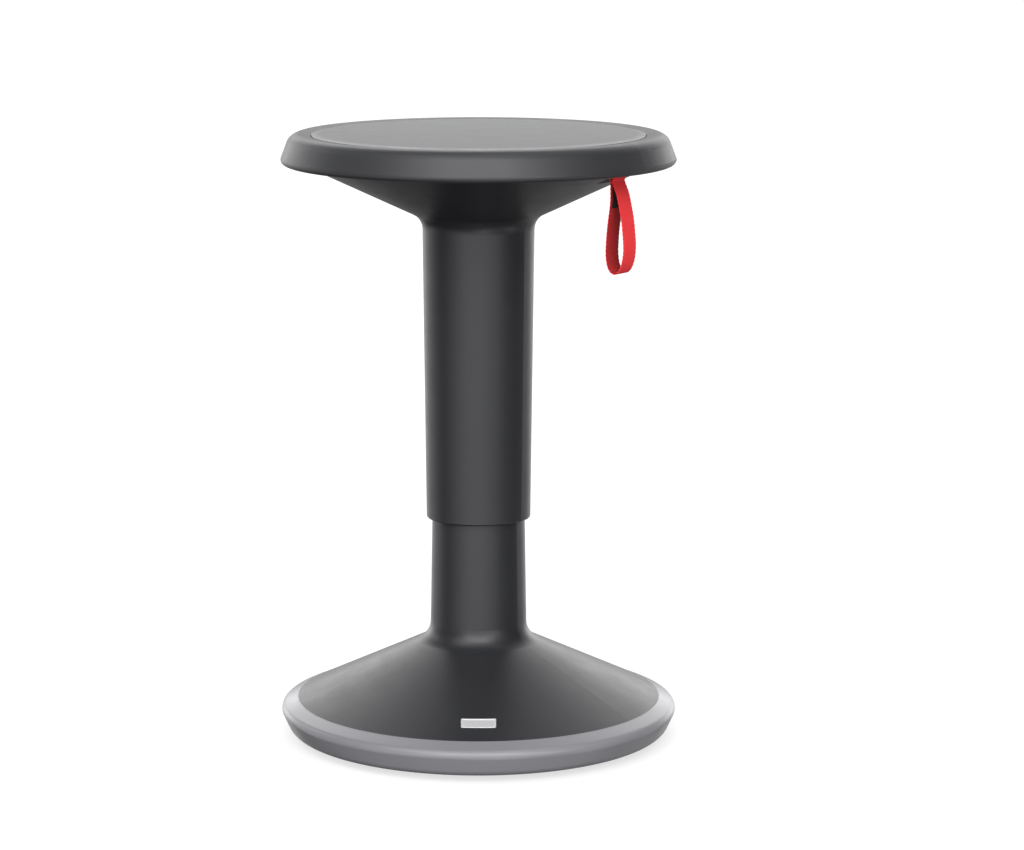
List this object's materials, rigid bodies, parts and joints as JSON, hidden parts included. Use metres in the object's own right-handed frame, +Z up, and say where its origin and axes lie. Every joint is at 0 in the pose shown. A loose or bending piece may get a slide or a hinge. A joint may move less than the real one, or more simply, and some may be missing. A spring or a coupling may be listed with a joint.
{
  "type": "wobble stool",
  "caption": "Height-adjustable wobble stool: round padded seat on a telescopic column over a wide cone foot with a soft floor ring and a pull strap.",
  "frame": {"origin": "on the floor under the column's axis", "axes": "+Z up the column, +X along the release lever towards the pull strap"},
  "size_m": [0.3516, 0.3516, 0.5384],
  "materials": {
    "graphite_plastic": "fine-grained satin graphite",
    "graphite_soft": "soft-touch graphite, integral-skin foam",
    "pad_skin": "smooth grained grey artificial leather",
    "foam": "open-cell foam",
    "ring_grey": "light grey soft elastomer",
    "sole_rubber": "black rubber",
    "base_black": "black moulded plastic",
    "plate_silver": "satin silver, bare",
    "ballast_iron": "black painted",
    "steel_zinc": "zinc plated",
    "steel_black": "black powder coat",
    "steel_polished": "ground and polished",
    "bush_white": "natural acetal",
    "bush_black": "black acetal",
    "screw_black": "black zinc",
    "strap_red": "woven red webbing",
    "tab_black": "black woven tab, bare",
    "board_black": "glass-filled nylon"
  },
  "bodies": {
    "foot": {"foot_housing": "graphite_plastic", "floor_ring": "ring_grey", "base_plate": "base_black", "grip_sole": "sole_rubber", "service_cap": "base_black", "name_plate": "plate_silver", "ballast_disc": "ballast_iron", "ballast_bolts": "steel_zinc", "base_plate_screws": "screw_black", "column_socket": "steel_zinc", "column_tube": "steel_black", "guide_bush": "bush_white", "stem_glide_ring": "bush_black", "lower_bearing_race": "steel_polished"},
    "bearing": {"bearing_cage": "bush_white", "bearing_balls": "steel_polished"},
    "rod": {"piston_rod": "steel_polished", "upper_bearing_race": "steel_polished", "rod_bumper": "sole_rubber", "rod_washer": "steel_zinc", "rod_clip": "steel_zinc", "piston": "bush_white", "piston_seal": "sole_rubber", "piston_nut": "steel_zinc"},
    "seat": {"seat_housing": "graphite_plastic", "seat_rim": "graphite_soft", "seat_pan": "board_black", "pan_screws": "screw_black", "pad_board": "board_black", "pad_screws": "screw_black", "pad_foam": "foam", "pad_cover": "pad_skin", "seat_socket": "steel_zinc", "pressure_tube": "steel_black", "rod_guide": "bush_white", "rod_guide_seal": "sole_rubber", "valve_body": "bush_white", "lever_bracket": "steel_zinc", "bracket_screws": "screw_black", "lever_pivot_pin": "steel_polished", "lever_pin_clip": "steel_zinc"},
    "valve": {"valve_pin": "steel_polished"},
    "lever": {"release_lever": "steel_black", "strap_pin": "steel_polished"},
    "strap": {"pull_strap": "strap_red", "strap_tab": "tab_black"}
  },
  "joints": [
    {"name": "seat_swivel", "type": "hinge", "parent": "foot", "child": "rod", "pos_m": [0, 0, 0.02], "axis": [0, 0, 1], "continuous": true},
    {"name": "bearing_turn", "type": "hinge", "parent": "foot", "child": "bearing", "pos_m": [0, 0, 0.02], "axis": [0, 0, 1], "continuous": true},
    {"name": "seat_height", "type": "slide", "parent": "rod", "child": "seat", "axis": [0, 0, 1], "range_m": [-0.09, 0.09]},
    {"name": "lever_pull", "type": "hinge", "parent": "seat", "child": "lever", "pos_m": [-0.058, 0, 0.482], "axis": [0, 1, 0], "range_deg": [0, 2], "stiffness_Nm_per_rad": 5, "springref_deg": -5.73},
    {"name": "valve_press", "type": "slide", "parent": "seat", "child": "valve", "axis": [0, 0, -1], "range_m": [0, 0.0021]},
    {"name": "strap_swing", "type": "hinge", "parent": "lever", "child": "strap", "pos_m": [0.1446, 0, 0.512], "axis": [0, 1, 0], "range_deg": [-45, 35]}
  ],
  "couplings": [
    {"joint": "bearing_turn", "follows": "seat_swivel", "ratio": 0.5},
    {"joint": "valve_press", "follows": "lever_pull", "m_per_rad": 0.058}
  ]
}
